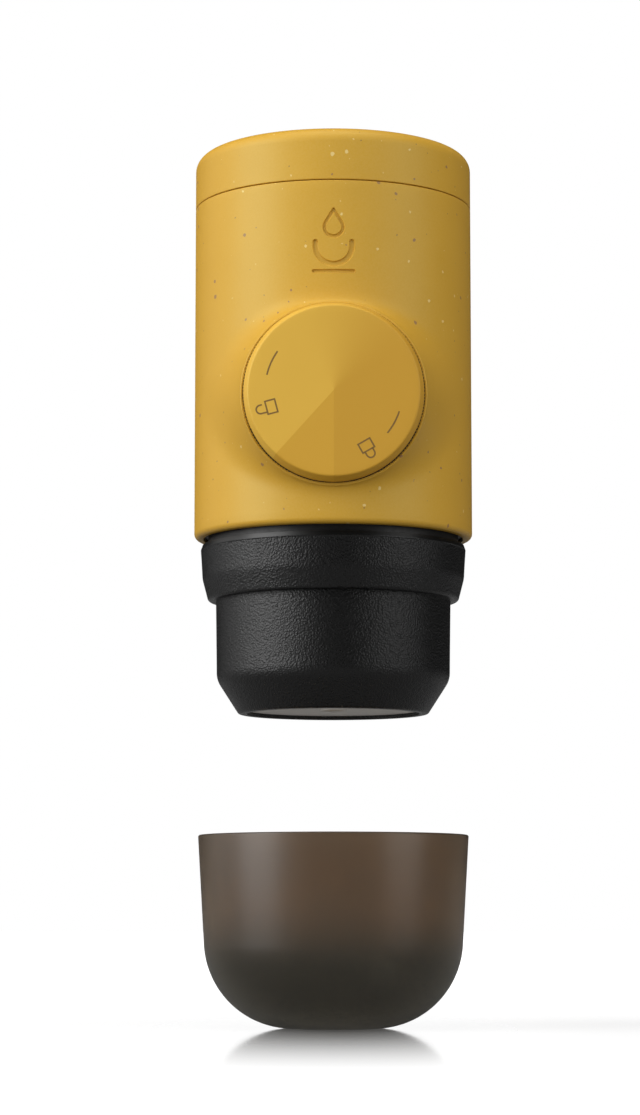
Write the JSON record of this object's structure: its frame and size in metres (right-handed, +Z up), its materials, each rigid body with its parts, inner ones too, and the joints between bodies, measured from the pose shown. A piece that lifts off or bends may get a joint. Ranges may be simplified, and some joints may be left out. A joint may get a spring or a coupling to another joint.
{
  "type": "handheld manual espresso maker",
  "caption": "Handheld cylinder-shaped espresso maker with a front pump button, screw-on water tank, screw-off outlet head and filter basket, and a round-bottomed drinking cup.",
  "frame": {"origin": "centre of the cup's base, on the surface that it stands on", "axes": "+Z up along the main axis of cup and maker; the pump's button faces -Y; the maker is held over its cup with 26.3 mm between the cup's rim and the outlet head"},
  "size_m": [0.061, 0.066, 0.1914],
  "materials": {
    "casing_yellow": "satin moulded ABS, mustard yellow with fine dark and pale flecks",
    "button_yellow": "satin moulded ABS, mustard yellow, plain",
    "head_black": "black glass-filled nylon with a fine leathery grain",
    "cup_smoke": "smoke-grey translucent copolyester, matt outside and glossy inside",
    "tank_clear": "clear frosted copolyester",
    "inner_black": "black moulded acetal",
    "inner_grey": "grey moulded polypropylene",
    "steel_satin": "satin stainless sheet",
    "steel_plain": "plain drawn stainless wire and bar",
    "silicone_black": "black silicone",
    "silicone_clear": "milky silicone"
  },
  "bodies": {
    "maker": {"body_shell": "casing_yellow", "bayonet_collar": "inner_black", "pump_housing": "inner_black", "housing_screws": "steel_plain", "socket_screws": "steel_plain", "inlet_valve": "silicone_clear", "outlet_valve": "silicone_clear", "group_head": "head_black", "shower_screen": "steel_satin", "group_gasket": "silicone_black", "screen_screw": "steel_plain", "tank_socket": "inner_black", "inlet_strainer": "steel_satin", "vent_valve": "silicone_clear", "return_spring": "steel_plain"},
    "plunger": {"plunger_rod": "inner_grey", "piston_seal": "silicone_clear", "rod_clip": "steel_plain", "spring_washer": "steel_plain"},
    "button": {"button_cap": "button_yellow", "piston_sleeve": "inner_black"},
    "tank_seal": {"tank_gasket": "silicone_black"},
    "tank": {"water_tank": "tank_clear", "tank_cap": "casing_yellow"},
    "basket": {"filter_basket": "steel_satin"},
    "head": {"outlet_head": "head_black", "valve_seat": "inner_grey", "spout_plate": "steel_satin", "crema_spring": "steel_plain"},
    "crema_stem": {"crema_valve": "silicone_black"},
    "cup": {"cup": "cup_smoke"}
  },
  "joints": [
    {"name": "piston_stroke", "type": "slide", "parent": "maker", "child": "plunger", "axis": [0, -1, 0], "range_m": [0, 0.02], "stiffness_N_per_m": 500, "springref_m": 0.035, "deforming": ["return_spring"]},
    {"name": "button_turn", "type": "hinge", "parent": "plunger", "child": "button", "pos_m": [0, -0.0315, 0.1334], "axis": [0, -1, 0], "range_deg": [-45, 0]},
    {"name": "tank_lift", "type": "slide", "parent": "maker", "child": "tank_seal", "axis": [0, 0, 1], "range_m": [0, 0.0241]},
    {"name": "tank_turn", "type": "hinge", "parent": "tank_seal", "child": "tank", "pos_m": [0, 0, 0.16], "axis": [0, 0, 1], "range_deg": [0, 1080]},
    {"name": "head_drop", "type": "slide", "parent": "maker", "child": "basket", "axis": [0, 0, -1], "range_m": [0, 0.0161]},
    {"name": "head_turn", "type": "hinge", "parent": "basket", "child": "head", "pos_m": [0, 0, 0.1], "axis": [0, 0, -1], "range_deg": [0, 720]},
    {"name": "crema_lift", "type": "slide", "parent": "head", "child": "crema_stem", "axis": [0, 0, -1], "range_m": [0, 0.001], "stiffness_N_per_m": 900, "springref_m": -0.004, "deforming": ["crema_spring"]},
    {"name": "cup_nest", "type": "slide", "parent": "maker", "child": "cup", "axis": [0, 0, -1], "range_m": [-0.053, 0]}
  ],
  "couplings": [
    {"joint": "tank_lift", "follows": "tank_turn", "m_per_rad": 0.0012732},
    {"joint": "head_drop", "follows": "head_turn", "m_per_rad": 0.0012732}
  ]
}
